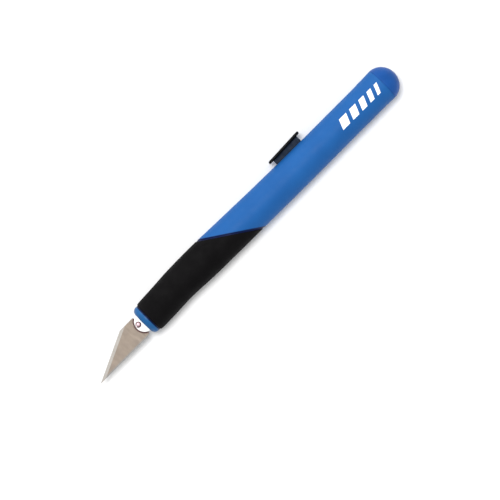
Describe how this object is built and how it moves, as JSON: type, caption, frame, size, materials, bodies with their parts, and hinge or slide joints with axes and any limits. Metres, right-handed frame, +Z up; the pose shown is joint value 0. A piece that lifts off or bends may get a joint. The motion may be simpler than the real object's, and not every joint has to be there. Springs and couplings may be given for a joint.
{
  "type": "hobby craft knife",
  "caption": "Pen-type craft knife with a soft front grip, a retracting fine-point blade moved by a thumb button, and a domed end cap.",
  "frame": {"origin": "on the handle's axis, in the plane of the nose ring's front face", "axes": "+X along the handle to the end cap, +Y towards the thumb button, +Z up from the side that the knife lies on"},
  "size_m": [0.1498, 0.016, 0.0132],
  "materials": {
    "barrel_plastic": "moulded polypropylene, satin blue",
    "nose_plastic": "moulded polypropylene, satin blue",
    "cap_plastic": "moulded polypropylene, satin, a deeper blue",
    "grip_rubber": "moulded thermoplastic rubber, matt black",
    "holder_plastic": "moulded acetal, white",
    "slider_plastic": "moulded acetal, dark grey",
    "thumb_plastic": "moulded ABS, black",
    "blade_steel": "carbon steel, ground along the edge",
    "peg_steel": "turned steel",
    "spring_steel": "stainless spring steel"
  },
  "bodies": {
    "handle": {"barrel": "barrel_plastic", "nose_ring": "nose_plastic", "front_grip": "grip_rubber", "lock_rail": "spring_steel"},
    "cap": {"end_cap": "cap_plastic"},
    "carriage": {"blade_holder": "holder_plastic", "jaw_plate": "holder_plastic", "blade": "blade_steel", "blade_peg": "peg_steel", "jaw_screw": "peg_steel", "slide_block": "slider_plastic", "drive_pin": "peg_steel", "lock_leaf": "spring_steel", "leaf_rivet": "peg_steel", "button_spring": "spring_steel"},
    "button": {"thumb_plate": "thumb_plastic", "button_neck": "slider_plastic"}
  },
  "joints": [
    {"name": "blade_slide", "type": "slide", "parent": "handle", "child": "carriage", "axis": [1, 0, 0], "range_m": [0, 0.027], "deforming": ["lock_leaf"]},
    {"name": "button_press", "type": "slide", "parent": "carriage", "child": "button", "axis": [0, -1, 0], "range_m": [0, 0.0008], "stiffness_N_per_m": 500, "deforming": ["button_spring"]},
    {"name": "cap_pull", "type": "slide", "parent": "handle", "child": "cap", "axis": [1, 0, 0], "range_m": [0, 0.008]}
  ]
}
